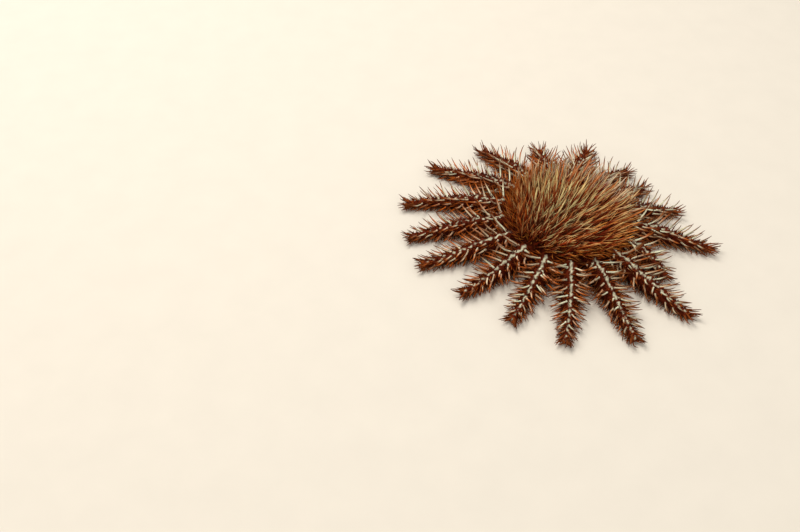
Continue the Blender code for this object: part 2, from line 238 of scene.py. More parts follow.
# How the flesh is cut into rings before it becomes one skin
FLESH_PLACES = 46
FLESH_FIRST_PLACE = -0.05
FLESH_TURNS = 170
UNDER_RINGS = 12
TOP_RINGS = 26
POLE_SHARE = 0.02
POLE_RADIUS = 0.01 * MM
SKIN_VOXEL = 1.15 * MM
SOFTEN_ROUNDS = 3
SOFTEN_FACTOR = 0.5

# The mound of skin at a large spine's foot, and at one of the crest near the disc
MOUND_HEIGHT = 1.5 * MM
MOUND_REACH = 2.1 * MM
CREST_MOUND_HEIGHT = 3.6 * MM
CREST_MOUND_REACH = 3.0 * MM
CREST_MOUND_SHARE = 0.7
CREST_MOUND_LAST_PLACE = 0.5
CREST_ROOT_ASIDE = 0.16

# The pale crest of an arm, partly painted highlight: its line, its bright stretches, its spots at
# spines' feet
CREST_HALF = 1.15 * MM
CREST_WAVES = (9.0 * MM, 5.3 * MM)
CREST_WAVE_TURN = 2.4
CREST_WAVE_SHARE = 0.4
CREST_WAVER = 0.5 * MM
CREST_FADE = 1.5
CREST_FRONT_SHARE = 0.7
CREST_FRONT_REACH = 120.0 * MM
CREST_FOOT = 1.9 * MM
CREST_FOOT_FADE = 0.5
CREST_EDGE = (0.26, 0.62)
CREST_LINE_SHARE = 0.75
# how strongly the crest's pale, partly painted highlight, is laid on
CREST_PALE = 0.95
CREST_FREE_BELOW = 0.3

# Where the skin is dark with painted shade: low on the arms, and in the furrows near the disc's rim
FLANK_SHADE = 1.1
FLANK_SHADE_FADE = 1.3
FURROW_SHADE = 2.4
FURROW_SHADE_POWER = 3
FURROW_SHADE_FROM = 0.6
DISC_SKIN_TONE = 0.4
UNDER_REACH = 3.5 * MM

# Colours of the disc's spines: where they are olive, and how many are rusty
DISC_TINT_STRAY = 0.24
OLIVE_MIDDLE = (-0.32, -0.25)
OLIVE_DEEPER = 0.8
OLIVE_REACH = 0.22
OLIVE_STRENGTH = 1.35
DISC_RUSTY_SHARE = 0.3
DISC_RUSTY_STRENGTH = 0.85

# The floor and the sky
FLOOR_HALF = 40.0
FLOOR_ROUGHNESS = 0.9
FLOOR_NOISE = (30.0, 8.0)
FLOOR_DARKER = 0.93
SKY = (1.0, 0.98, 0.95, 1.0)
SKY_STRENGTH = 0.52

# Each light: name, place, size, power and colour
LIGHTS = (
    ("key", (-0.89, 0.73, 2.1), 1.3, 48.5, (1.0, 0.97, 0.92)),
    ("fill", (1.35, -1.35, 1.35), 1.8, 9.0, (1.0, 0.98, 0.95)),
)

# How points are looked up along the arms
TABLE_PLACES = 61
CHUNK = 4000

# Layout of the unwrap of the skin's own shape, in metres before it is scaled
SHEET_SIZE = 0.47
STRIP_WIDTH = 66.0 * MM
STRIP_LENGTH = 112.0 * MM
STRIP_GIRTH = 60.0 * MM
STRIPS_ACROSS = 6
STRIP_ROWS = 3
STRIP_MARGIN = 3.0 * MM
DISC_MARGIN = 5.0 * MM
UNDERSIDE_AT = 3.2
MIDDLE_LEVEL = 0.4
PATCH = 0.003


def direction(azimuth):
    """A level direction, seen from above."""
    return np.array((math.cos(azimuth), math.sin(azimuth)))


def arm_frame(arm, place):
    """Middle, forward and side directions of an arm, seen from above."""
    out = direction(FIRST_ARM + arm * ARM_STEP)
    start = out * (DISC_APOTHEM + GAP)
    tip_azimuth, tip_reach = ARM_TIPS[arm]
    tip = direction(math.radians(tip_azimuth)) * tip_reach * MM
    bend = start + out * ARM_BEND_SHARE * np.linalg.norm(tip - start)
    rest = 1.0 - place
    middle = start * rest ** 2 + bend * 2.0 * place * rest + tip * place ** 2
    forward = (bend - start) * rest + (tip - bend) * place
    forward = forward / np.linalg.norm(forward)
    side = np.array((-forward[1], forward[0]))
    return middle, forward, side


def arm_length(arm):
    """Straight length of an arm from its root to its tip."""
    return float(np.linalg.norm(arm_frame(arm, 1.0)[0] - arm_frame(arm, 0.0)[0]))


def arm_share(place):
    """Size of an arm's section at a place along it, as a share of its root's."""
    places, shares = zip(*ARM_TAPER)
    return np.interp(place, places, shares)


def arm_lift(place):
    """Height of an arm's underside, which curls up at the tip."""
    return TIP_LIFT * np.maximum(0.0, (place - TIP_LIFT_FROM) / (1.0 - TIP_LIFT_FROM)) ** 2


def turn_from_arm(azimuth):
    """Angle between a direction and that of the nearest arm's root."""
    return (azimuth - FIRST_ARM + 0.5 * ARM_STEP) % ARM_STEP - 0.5 * ARM_STEP


def disc_height(radius, azimuth):
    """Height of the disc's upper side, with furrows that run in between the arms."""
    local = turn_from_arm(azimuth)
    share = np.minimum(1.0, radius * np.cos(local) / DISC_APOTHEM)
    furrow = (np.abs(local) / (0.5 * ARM_STEP)) ** FURROW_WIDTH_POWER
    near_rim = np.maximum(0.0, (share - FURROW_REACH) / (1.0 - FURROW_REACH)) ** FURROW_FADE_POWER
    dome = DISC_DOME * (1.0 - share ** DOME_ROUNDNESS)
    return DISC_RIM_HEIGHT + dome - FURROW_DEPTH * furrow * near_rim


def unit(vector):
    """The vector made one long."""
    vector = np.array(vector, dtype=float)
    return vector / np.linalg.norm(vector)


def stray_by(chance, spread):
    """A small random offset."""
    return np.array([chance.gauss(0.0, spread) for axis in range(3)])


def spine_gaps(start, end, radius, starts, ends, radii):
    """Gaps between one tapering spine and many others."""
    u = end - start
    v = ends - starts
    w = start - starts
    a = float(u @ u)
    b = v @ u
    c = np.einsum("ij,ij->i", v, v)
    d = w @ u
    e = np.einsum("ij,ij->i", v, w)
    s = np.clip((b * e - c * d) / np.maximum(a * c - b * b, 1e-14), 0.0, 1.0)
    t = np.clip((b * s + e) / c, 0.0, 1.0)
    s = np.clip((b * t - d) / a, 0.0, 1.0)
    nearest = w + s[:, None] * u - t[:, None] * v
    return np.sqrt(np.einsum("ij,ij->i", nearest, nearest)) - radius * (1.0 - s) - radii * (1.0 - t)


class Field:
    """The arms' flesh and every spine placed so far, to keep the nodes apart."""

    def __init__(self):
        self.spines = []
        self.nodes = []
        flesh = []
        for arm in range(ARM_COUNT):
            for place in np.linspace(0.0, 1.0, FLESH_SAMPLES):
                middle, forward, side = arm_frame(arm, place)
                share = arm_share(place)
                top = arm_lift(place) + share * ARM_HEIGHT
                flesh.append((arm, middle[0], middle[1], 0.5 * share * ARM_WIDTH, top))
        self.flesh = np.array(flesh)

    def misses_flesh(self, node, start, end, margin):
        """Whether a spine stays clear of the flesh of every other node."""
        others = self.flesh[self.flesh[:, 0] != node]
        for share in np.linspace(FLESH_FREE_FROM, 1.0, SPINE_SAMPLES):
            point = start + (end - start) * share
            away = np.hypot(others[:, 1] - point[0], others[:, 2] - point[1])
            if ((away < others[:, 3] + margin) & (point[2] < others[:, 4] + margin)).any():
                return False
            radius = math.hypot(point[0], point[1])
            if node >= 0 and radius < DISC_APOTHEM / math.cos(0.5 * ARM_STEP) + margin:
                if point[2] < disc_height(radius, FIRST_ARM) + margin:
                    return False
        return True

    def misses_spines(self, node, start, end, radius):
        """Whether a spine stays clear of all spines, its neighbours' roots apart."""
        if not self.spines:
            return True
        starts, ends, radii = (np.array(part) for part in zip(*self.spines))
        own = np.array(self.nodes) == node
        if (spine_gaps(start, end, radius, starts, ends, radii)[~own] < SPINE_MISS).any():
            return False
        free_start = start + (end - start) * ROOT_SHARE
        free_radius = radius * (1.0 - ROOT_SHARE)
        return not (spine_gaps(free_start, end, free_radius, starts, ends, radii)[own] < 0.0).any()

    def place(self, chance, node, start, heading, length, radius):
        """Find a spine near the wished heading that misses the rest, or give up."""
        for attempt in range(TRIES):
            stray = stray_by(chance, STRAY + STRAY_PER_TRY * attempt)
            reach = length * chance.uniform(*LENGTH_SPREAD) * (1.0 - SHORTER_PER_TRY * attempt)
            end = start + unit(unit(heading) + stray) * reach
            free = end[2] > FLOOR_MISS
            free = free and self.misses_flesh(node, start, end, radius + SPINE_MISS)
            free = free and self.misses_spines(node, start, end, radius)
            if free:
                self.spines.append((start, end, radius))
                self.nodes.append(node)
                return


def disc_spine_line(azimuth, share, reach):
    """Root and heading of a spine of the disc, at a share of the way to the rim."""
    out = direction(azimuth)
    radius = reach * share * DISC_APOTHEM
    start = np.array((*(out * radius), disc_height(radius, azimuth)))
    tilt = math.radians(DISC_MIDDLE_TILT + (DISC_RIM_TILT - DISC_MIDDLE_TILT) * share)
    sweep = 1.0 + DISC_SWEEP * max(0.0, share * float(out @ DISC_SWEPT_SIDE))
    return start, unit((*(out * math.sin(tilt) + DISC_STREAM * sweep), math.cos(tilt)))


def place_disc_spines(field, chance):
    """Long spines all over the disc."""
    for number in range(DISC_SPINES):
        share = math.sqrt((number + 0.5) / DISC_SPINES)
        azimuth = number * GOLDEN_ANGLE + chance.uniform(-DISC_TURN_STRAY, DISC_TURN_STRAY)
        start, heading = disc_spine_line(azimuth, share, DISC_SPINE_REACH)
        length = DISC_SPINE_LENGTH * (1.0 - DISC_RIM_SHORTER * share)
        field.place(chance, -1, start, heading, length, SPINE_RADIUS)


def row_root(arm, place, angle, way):
    """Where on an arm's flesh a spine stands, at an angle round one of its sides."""
    middle, forward, side = arm_frame(arm, place)
    share = arm_share(place)
    turn = math.radians(angle)
    flat = middle + side * way * ROW_ACROSS * math.cos(turn) * share * ARM_WIDTH
    level = arm_lift(place) + share * ARM_HEIGHT * (ROW_LOW + ROW_RISE * math.sin(turn))
    return np.array((*flat, level))


def spine_lean(place):
    """How far the spines at a place along an arm lean towards its tip."""
    places, leans = zip(*ARM_SPINE_LEANS)
    return float(np.interp(place, places, leans))


def place_arm_spines(field, chance, arm):
    """Rows of spines on both sides of one arm, leaning outward, and a fan at its tip."""
    length = arm_length(arm)
    for angle, rise, spacing, length_share in SPINE_ROWS:
        steps = round(length / spacing)
        upward = math.sin(math.radians(rise))
        sideways = math.cos(math.radians(rise))
        for step in range(2 * steps):
            way = 1.0 if step % 2 else -1.0
            place = (0.5 * step + FIRST_STEP) / steps + chance.uniform(-PLACE_STRAY, PLACE_STRAY)
            place = min(LAST_PLACE, max(ROOT_MISS / length, place))
            middle, forward, side = arm_frame(arm, place)
            heading = (*(side * way * sideways + forward * spine_lean(place)), upward)
            reach = ARM_SPINE_LENGTH * length_share * (1.0 - ARM_TIP_SHORTER * place)
            field.place(chance, arm, row_root(arm, place, angle, way), heading, reach, SPINE_RADIUS)
    middle, forward, side = arm_frame(arm, LAST_PLACE)
    level = arm_lift(LAST_PLACE) + 0.5 * arm_share(LAST_PLACE) * ARM_HEIGHT
    for number in range(TIP_SPINES):
        fan = math.radians(TIP_FAN * (2.0 * number / (TIP_SPINES - 1) - 1.0))
        heading = unit((*(forward * math.cos(fan) + side * math.sin(fan)), TIP_RISES[number % 2]))
        start = np.array((*middle, level)) + heading * SPINE_RADIUS
        field.place(chance, arm, start, heading, TIP_SPINE_LENGTH, TIP_SPINE_SHARE * SPINE_RADIUS)


def fine_arm_spines(chance, rows, length_share):
    """Start, end and radius of finer spines between the large ones of the arms."""
    found = []
    for arm in range(ARM_COUNT):
        steps = round(arm_length(arm) / FINE_SPACING)
        for angle, rise in rows:
            for step in range(2 * steps):
                way = 1.0 if step % 2 else -1.0
                place = min(LAST_PLACE, (0.5 * step + chance.uniform(*FINE_STEP_SHARES)) / steps)
                turned = angle + chance.uniform(-FINE_TURN_STRAY, FINE_TURN_STRAY)
                start = row_root(arm, place, turned, way)
                middle, forward, side = arm_frame(arm, place)
                turn = math.radians(rise)
                flat = side * way * math.cos(turn) + forward * spine_lean(place)
                stray = stray_by(chance, FINE_STRAY)
                heading = unit(unit((*flat, math.sin(turn))) + stray)
                length = ARM_SPINE_LENGTH * length_share * (1.0 - ARM_TIP_SHORTER * place)
                end = start + heading * (length * chance.uniform(*FINE_ARM_LENGTHS))
                kept = chance.random() < FINE_ARM_RIGHT_SHARE or start[0] < DISC_APOTHEM
                if kept and end[2] > FINE_ARM_RADIUS:
                    found.append((start, end, FINE_ARM_RADIUS * chance.uniform(*RADIUS_SPREAD)))
    return found


def fine_disc_spines(chance):
    """Finer spines between the large ones of the disc."""
    found = []
    for number in range(FINE_DISC_SPINES):
        share = math.sqrt((number + 0.5) / FINE_DISC_SPINES)
        azimuth = number * GOLDEN_ANGLE + chance.uniform(-DISC_TURN_STRAY, DISC_TURN_STRAY)
        start, heading = disc_spine_line(azimuth, share, FINE_DISC_REACH)
        to_right = start[0] > FINE_RIGHT_FROM * DISC_APOTHEM
        if to_right and chance.random() > FINE_RIGHT_SHARE:
            continue
        heading = unit(heading + stray_by(chance, FINE_DISC_STRAY))
        length = DISC_SPINE_LENGTH * chance.uniform(*FINE_DISC_LENGTHS)
        length = length * (1.0 - DISC_RIM_SHORTER * share)
        radius = FINE_DISC_RADIUS * chance.uniform(*RADIUS_SPREAD)
        found.append((start, start + heading * length, radius))
    return found


def rim_spines(chance):
    """Short spines that lean outward all round the disc's rim."""
    found = []
    for number in range(RIM_SPINES):
        azimuth = (number + chance.uniform(-0.5, 0.5)) / RIM_SPINES * 2.0 * math.pi
        start, heading = disc_spine_line(azimuth, chance.uniform(*RIM_SHARES), FINE_DISC_REACH)
        outward = np.array((*direction(azimuth), 0.0)) * RIM_LEAN
        heading = unit(heading + outward + stray_by(chance, FINE_DISC_STRAY))
        end = start + heading * DISC_SPINE_LENGTH * chance.uniform(*RIM_LENGTHS)
        found.append((start, end, FINE_DISC_RADIUS * chance.uniform(*RADIUS_SPREAD)))
    return found


def thinner_to_tips(spines):
    """The same spines, with those towards an arm's tip thinner."""
    places = locate(np.array([spine[0] for spine in spines]))[1]
    shares = 1.0 - TIP_THINNER * places
    return [(start, end, radius * share) for (start, end, radius), share in zip(spines, shares)]


def fringe_spines(chance):
    """Short spines along both sides of each arm's foot."""
    found = []
    for arm in range(ARM_COUNT):
        steps = round(arm_length(arm) / FRINGE_SPACING)
        for step in range(2 * steps):
            way = 1.0 if step % 2 else -1.0
            place = (0.5 * step + chance.uniform(*FRINGE_STEP_SHARES)) / steps
            place = min(FRINGE_LAST_PLACE, place)
            middle, forward, side = arm_frame(arm, place)
            share = float(arm_share(place))
            flat = middle + side * way * ROW_ACROSS * share * ARM_WIDTH
            start = np.array((*flat, float(arm_lift(place)) + FRINGE_LEVEL * share))
            lean = FRINGE_LEAN + chance.gauss(0.0, FRINGE_LEAN_STRAY)
            heading = unit((*(side * way + forward * lean), chance.uniform(*FRINGE_RISES)))
            length = FRINGE_LENGTH * chance.uniform(*FRINGE_LENGTHS)
            length = length * (1.0 - FRINGE_TIP_SHORTER * place)
            end = start + heading * length
            end[2] = max(end[2], 2.0 * FRINGE_RADIUS)
            found.append((start, end, FRINGE_RADIUS))
    return found


def arm_table():
    """Points along all arms: arm, place, x, y, forward x and y, size share."""
    rows = []
    for arm in range(ARM_COUNT):
        for place in np.linspace(0.0, 1.0, TABLE_PLACES):
            middle, forward, side = arm_frame(arm, place)
            rows.append((arm, place, *middle, *forward, arm_share(place)))
    return np.array(rows)


def locate(points):
    """Arm (or -1 for the disc), place, sideways offset and size share of each point."""
    table = arm_table()
    best = np.empty((len(points), table.shape[1]))
    for first in range(0, len(points), CHUNK):
        part = points[first:first + CHUNK, None]
        away = (part[..., 0] - table[:, 2]) ** 2 + (part[..., 1] - table[:, 3]) ** 2
        best[first:first + CHUNK] = table[np.argmin(away, axis=1)]
    arm, place, x, y, forward_x, forward_y, share = best.T
    across = (points[:, 1] - y) * forward_x - (points[:, 0] - x) * forward_y
    local = turn_from_arm(np.arctan2(points[:, 1], points[:, 0]))
    inside = np.hypot(points[:, 0], points[:, 1]) * np.cos(local) < DISC_APOTHEM
    return np.where(inside, -1, arm).astype(int), place, across, share


def unwrap(points, arm, place, across, share, upper, turn_near=None):
    """Place of points on the flat layout of the skin: strips for arms, two discs."""
    turn = np.arctan2(points[:, 2] - MIDDLE_LEVEL * share * ARM_HEIGHT, across)
    turn = (turn + 0.5 * math.pi) % (2.0 * math.pi)
    if turn_near is not None:
        turn = turn_near + (turn - turn_near + math.pi) % (2.0 * math.pi) - math.pi
    girth = turn / (2.0 * math.pi) * STRIP_GIRTH
    lengths = np.array([arm_length(each) for each in range(ARM_COUNT)])
    strip_u = arm % STRIPS_ACROSS * STRIP_WIDTH + STRIP_MARGIN + girth
    strip_v = arm // STRIPS_ACROSS * STRIP_LENGTH + STRIP_MARGIN + place * lengths[arm]
    half = DISC_APOTHEM + DISC_MARGIN
    disc_u = np.where(upper, half, UNDERSIDE_AT * half) + points[:, 0]
    disc_v = STRIP_ROWS * STRIP_LENGTH + half + points[:, 1]
    places = [np.where(arm < 0, disc_u, strip_u), np.where(arm < 0, disc_v, strip_v)]
    return np.stack(places, axis=1) / SHEET_SIZE, turn


def blend(low, high, amount):
    """Colours between two, or between rows of them, by an amount for each row."""
    amount = np.clip(amount, 0.0, 1.0)[:, None]
    return np.multiply(low, 1.0 - amount) + np.multiply(high, amount)


def ramp(value, start, width):
    """From nothing to one as a value passes a start and then a width."""
    return np.clip((value - start) / width, 0.0, 1.0)


def foot_share(points, feet, reach):
    """How near each point lies to the nearest of some spines' feet, one at the foot."""
    near = np.empty(len(points))
    for first in range(0, len(points), CHUNK):
        part = points[first:first + CHUNK]
        away = ((part[:, None] - feet[None]) ** 2).sum(axis=2).min(axis=1)
        near[first:first + CHUNK] = np.exp(-away / reach ** 2)
    return near


def flesh_rise(points, on_arm, share):
    """Height of each point as a share of the flesh's own height there."""
    return points[:, 2] / np.where(on_arm, share * ARM_HEIGHT, DISC_RIM_HEIGHT)


def crest_share(points, arm, place, across, share):
    """How far each point belongs to the pale, broken crest of an arm, whose brightness is partly painted
    highlight.
    """
    on_arm = arm >= 0
    along = np.hypot(points[:, 0], points[:, 1])
    waves = [
        np.sin(2.0 * math.pi * along / wave + CREST_WAVE_TURN * arm * number)
        for number, wave in enumerate(CREST_WAVES, 1)
    ]
    front = np.clip(-points[:, 1] / CREST_FRONT_REACH, 0.0, 1.0)
    ripple = CREST_WAVE_SHARE * (waves[0] + waves[1])
    bright = 1.0 - CREST_FADE * place + CREST_FRONT_SHARE * front + ripple
    bright = np.clip(bright, 0.0, 1.0) * ramp(place, start=0.0, width=0.06)
    stripe = np.exp(-((across - CREST_WAVER * waves[1]) / CREST_HALF) ** 2) * bright
    stripe = stripe * ramp(flesh_rise(points, on_arm, share), start=0.7, width=0.2)
    feet = foot_share(points, crest_roots, CREST_FOOT) * (1.0 - CREST_FOOT_FADE * place)
    broad = foot_share(points, crest_mounds, CREST_MOUND_REACH)
    low, high = CREST_EDGE
    line = ramp(stripe, low, high - low) * CREST_LINE_SHARE
    spots = ramp(np.maximum(feet, broad), low, high - low)
    return np.where(on_arm, np.maximum(line, spots), 0.0)


def skin_colours(points, arm, place, across, share):
    """The colours that skin and coat share at each point: painted shade low on the arms and in the
    furrows, and a pale crest that is partly painted highlight.
    """
    on_arm = arm >= 0
    # painted shade: the flank darkens towards the floor, where shade falls between the arms
    colour = blend(RUST, PAINTED_SHADE, FLANK_SHADE - FLANK_SHADE_FADE * flesh_rise(points, on_arm, share))
    from_middle = np.hypot(points[:, 0], points[:, 1]) / DISC_APOTHEM
    low = points[:, 2] < 0.5 * DISC_RIM_HEIGHT
    middle = blend(np.multiply(UMBER, DISC_SKIN_TONE), RUST, from_middle + low)
    local = turn_from_arm(np.arctan2(points[:, 1], points[:, 0]))
    # painted shade in the furrows between the arms, near the disc's rim
    furrow = (np.abs(local) / (0.5 * ARM_STEP)) ** FURROW_SHADE_POWER
    furrow = furrow * ramp(from_middle, FURROW_SHADE_FROM, width=1.0) * FURROW_SHADE
    colour = np.where(on_arm[:, None], colour, blend(middle, PAINTED_SHADE, furrow))
    # pale crest on the arms' tops, partly painted highlight
    colour = blend(colour, PALE_AND_HIGHLIGHT, CREST_PALE * crest_share(points, arm, place, across, share))
    return blend(colour, UNDER, 1.0 - points[:, 2] / UNDER_REACH)


def add_object(name, data):
    """A new object in the scene."""
    made = bpy.data.objects.new(name, data)
    bpy.context.scene.collection.objects.link(made)
    return made


def set_colours(mesh, colours):
    """Store a colour at each point for the materials to read."""
    layer = mesh.color_attributes.new("Tint", "FLOAT_COLOR", "POINT")
    values = np.ones((len(colours), 4), dtype=np.float32)
    values[:, :3] = colours
    layer.data.foreach_set("color", values.ravel())


def set_map(mesh, places):
    """Store the unwrap, one place for each face corner."""
    layer = mesh.uv_layers.new(name="OFBake")
    layer.data.foreach_set("uv", np.asarray(places, dtype=np.float32).ravel())


def spine_faces(steps, sides):
    """Faces of one spine as numbers of its points, and where their corners lie on its patch."""
    faces = []
    corners = []
    for ring in range(len(steps) - 1):
        for side in range(sides):
            near = (side + 1) % sides
            low = ring * sides
            high = low + sides
            faces.append((low + side, low + near, high + near, high + side))
            corners += [(side, steps[ring]), (side + 1, steps[ring])]
            corners += [(side + 1, steps[ring + 1]), (side, steps[ring + 1])]
    last = (len(steps) - 1) * sides
    root = last + sides
    for side in range(sides):
        near = (side + 1) % sides
        faces.append((near, side, root))
        corners += [(side + 1, 0.0), (side, 0.0), (side + 0.5, 0.0)]
        faces.append((last + side, last + near, root + 1))
        corners += [(side, steps[-1]), (side + 1, steps[-1]), (side + 0.5, 1.0)]
    corners = np.array(corners)
    corners[:, 0] = (corners[:, 0] / sides - 0.5) * PATCH
    corners[:, 1] = (corners[:, 1] - 0.5) * PATCH
    return faces, corners


def spine_points(spines, steps, thick, sides, sunk, bend):
    """Points of many spines: rings along each, the middle of its foot, and its tip."""
    starts, ends = (np.array([spine[end] for spine in spines]) for end in (0, 1))
    radii = np.array([spine[2] for spine in spines])
    axis = ends - starts
    length = np.linalg.norm(axis, axis=1)
    axis = axis / length[:, None]
    across = np.cross(BEND_FROM, axis)
    across /= np.linalg.norm(across, axis=1)[:, None]
    over = np.cross(axis, across)
    reach = np.outer(length, steps)
    reach[:, 0] = -sunk
    middle = starts[:, None] + axis[:, None] * reach[:, :, None]
    arch = 4.0 * steps * (1.0 - steps)
    swing = np.random.default_rng(len(spines)).normal(0.0, BEND_SWING, len(spines))[:, None]
    bent = over * np.cos(swing) + across * np.sin(swing)
    mean, spread, seed = bend
    bows = np.random.default_rng(seed).normal(mean, spread, len(spines)) * length
    middle = middle + bent[:, None] * np.outer(bows, arch)[:, :, None]
    width = np.outer(radii, thick)
    middle[:, :, 2] = np.maximum(middle[:, :, 2], width)
    angle = np.linspace(0.0, 2.0 * math.pi, sides, endpoint=False)
    spoke = across[:, None] * np.cos(angle)[:, None] + over[:, None] * np.sin(angle)[:, None]
    rings = middle[:, :, None] + spoke[:, None] * width[:, :, None, None]
    body = rings.reshape(len(spines), len(steps) * sides, 3)
    return np.concatenate([body, middle[:, :1], ends[:, None]], axis=1)


def grow(name, spines, profile, sides, sunk, colours, bend, material):
    """One mesh of many spines, each arched at its middle; below zero its point turns up."""
    steps = np.array([row[0] for row in profile])
    thick = np.array([row[1] for row in profile])
    points = spine_points(spines, steps, thick, sides, sunk, bend)
    faces, corners = spine_faces(steps, sides)
    count, each = points.shape[:2]
    firsts = range(0, count * each, each)
    whole = [tuple(corner + first for corner in face) for first in firsts for face in faces]
    mesh = bpy.data.meshes.new(name)
    mesh.from_pydata((points.reshape(-1, 3) + MIDDLE).tolist(), [], whole)
    mesh.shade_smooth()
    mesh.materials.append(material)
    starts = np.array([spine[0] for spine in spines])
    where = locate(starts)
    home = unwrap(starts, *where, starts[:, 2] > MIDDLE_LEVEL * DISC_RIM_HEIGHT)[0]
    set_map(mesh, (home[:, None] + corners[None]).reshape(-1, 2))
    along = np.concatenate([np.repeat(steps, sides), (0.0, 1.0)])
    number = np.repeat(np.arange(count), each)
    set_colours(mesh, colours(np.tile(along, count), number, skin_colours(starts, *where), starts))
    finish_piece(add_object(name, mesh))


def finish_piece(piece):
    """Let a piece move with the model."""
    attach(piece, "root")


def smooth_loop(points, rounds):
    """A closed outline with its corners cut round a few times."""
    points = np.array(points, dtype=float)
    for cut in range(rounds):
        after = np.roll(points, -1, axis=0)
        pairs = np.stack([0.75 * points + 0.25 * after, 0.25 * points + 0.75 * after], axis=1)
        points = pairs.reshape(-1, 2)
    return points


def section_outline():
    """An arm's cross section at its root, rounded."""
    groove_share = GROOVE_HALF / ARM_WIDTH
    right = list(HALF_SECTION)
    left = [(-across, up) for across, up in reversed(right)]
    underside = [(-groove_share, 0.0), (0.0, GROOVE_DEPTH / ARM_HEIGHT), (groove_share, 0.0)]
    outline = right + [(0.0, 1.0)] + left + underside
    return smooth_loop(outline, 2) * (ARM_WIDTH, ARM_HEIGHT)


def add_tube(shape, rings):
    """Add a closed tube through rings of points to a mesh in the making."""
    made = [[shape.verts.new(point) for point in ring] for ring in rings]
    for low, high in zip(made, made[1:]):
        for i in range(len(low)):
            j = (i + 1) % len(low)
            shape.faces.new((low[i], low[j], high[j], high[i]))
    shape.faces.new(reversed(made[0]))
    shape.faces.new(made[-1])


def flesh_object():
    """Arms and disc as overlapping closed forms, before they become one skin."""
    shape = bmesh.new()
    outline = section_outline()
    for arm in range(ARM_COUNT):
        rings = []
        for place in np.linspace(FLESH_FIRST_PLACE, 1.0, FLESH_PLACES):
            on_arm = max(place, 0.0)
            middle, forward, side = arm_frame(arm, on_arm)
            middle = middle + forward * min(place, 0.0) * arm_length(arm)
            share = float(arm_share(on_arm))
            lift = float(arm_lift(on_arm))
            flat = middle + side * (outline[:, :1] * share)
            rings.append([(x, y, lift + up * share) for (x, y), up in zip(flat, outline[:, 1])])
        add_tube(shape, rings)
    azimuths = np.linspace(0.0, 2.0 * math.pi, FLESH_TURNS, endpoint=False)
    local = turn_from_arm(azimuths)
    edge = (DISC_APOTHEM + GAP) / np.cos(local)
    groove = np.maximum(0.0, 1.0 - np.abs(np.tan(local)) * DISC_APOTHEM / GROOVE_HALF) * GROOVE_DEPTH
    rings = [[(POLE_RADIUS * math.cos(a), POLE_RADIUS * math.sin(a), MOUTH_DEPTH) for a in azimuths]]
    for share in np.linspace(MOUTH_RADIUS / DISC_APOTHEM, 1.0, UNDER_RINGS):
        reach = edge * share
        rings.append(list(zip(reach * np.cos(azimuths), reach * np.sin(azimuths), groove)))
    for share in np.linspace(1.0, POLE_SHARE, TOP_RINGS):
        reach = edge * share
        level = disc_height(reach, azimuths)
        rings.append(list(zip(reach * np.cos(azimuths), reach * np.sin(azimuths), level)))
    add_tube(shape, rings)
    bmesh.ops.recalc_face_normals(shape, faces=shape.faces)
    mesh = bpy.data.meshes.new("flesh")
    shape.to_mesh(mesh)
    shape.free()
    return add_object("flesh", mesh)


def read_values(items, name, kind, width=1):
    """What each item of a mesh holds under a name, in one long row."""
    values = np.empty(len(items) * width, dtype=kind)
    items.foreach_get(name, values)
    return values


def make_skin(material, roots):
    """One skin over arms and disc, with a mound under each large spine."""
    flesh = flesh_object()
    remesh = flesh.modifiers.new("one_skin", "REMESH")
    remesh.mode = "VOXEL"
    remesh.voxel_size = SKIN_VOXEL
    soften = flesh.modifiers.new("soften", "SMOOTH")
    soften.iterations = SOFTEN_ROUNDS
    soften.factor = SOFTEN_FACTOR
    view = bpy.context.evaluated_depsgraph_get()
    mesh = bpy.data.meshes.new_from_object(flesh.evaluated_get(view))
    bpy.data.objects.remove(flesh)
    mesh.name = "skin"
    points = read_values(mesh.vertices, "co", np.float32, 3).reshape(-1, 3).astype(float)
    normals = read_values(mesh.vertex_normals, "vector", np.float32, 3).reshape(-1, 3).astype(float)
    lift = MOUND_HEIGHT * foot_share(points, roots, MOUND_REACH)
    lift = np.maximum(lift, CREST_MOUND_HEIGHT * foot_share(points, crest_mounds, CREST_MOUND_REACH))
    points = points + normals * lift[:, None]
    points[:, 2] = np.maximum(points[:, 2], 0.0)
    mesh.vertices.foreach_set("co", (points + MIDDLE).astype(np.float32).ravel())
    mesh.update()
    where = locate(points)
    set_colours(mesh, skin_colours(points, *where))
    open_skin = crest_share(points, *where) < CREST_FREE_BELOW
    map_skin(mesh, points)
    mesh.shade_smooth()
    mesh.materials.clear()
    mesh.materials.append(material)
    skin = add_object("skin", mesh)
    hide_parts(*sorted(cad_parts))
    finish_piece(skin)
    return points, normals, where[0] >= 0, open_skin


def map_skin(mesh, points):
    """Give the skin its unwrap, each face on the strip or disc that it lies in."""
    for_corner = read_values(mesh.loops, "vertex_index", np.int32)
    sizes = read_values(mesh.polygons, "loop_total", np.int32)
    face_of = np.repeat(np.arange(len(sizes)), sizes)
    middles = np.zeros((len(sizes), 3))
    np.add.at(middles, face_of, points[for_corner])
    middles /= sizes[:, None]
    arm, place, across, share = locate(middles)
    upper = middles[:, 2] > MIDDLE_LEVEL * DISC_RIM_HEIGHT
    turn = unwrap(middles, arm, place, across, share, upper)[1]
    corner = points[for_corner]
    own_arm, own_place, own_across, own_share = locate(corner)
    chart = arm[face_of]
    own_place = np.where(own_arm == chart, own_place, place[face_of])
    own_across = np.where(own_arm == chart, own_across, across[face_of])
    of_face = (share[face_of], upper[face_of], turn[face_of])
    set_map(mesh, unwrap(corner, chart, own_place, own_across, *of_face)[0])


def drawn_for(starts, seed, low, high):
    """A number of its own for each spine."""
    return np.random.default_rng(seed).uniform(low, high, len(starts))


def tones(number, seed, low, high):
    """A lightness of its own for each spine, at each of its points."""
    return np.random.default_rng(seed).uniform(low, high, number.max() + 1)[number][:, None]


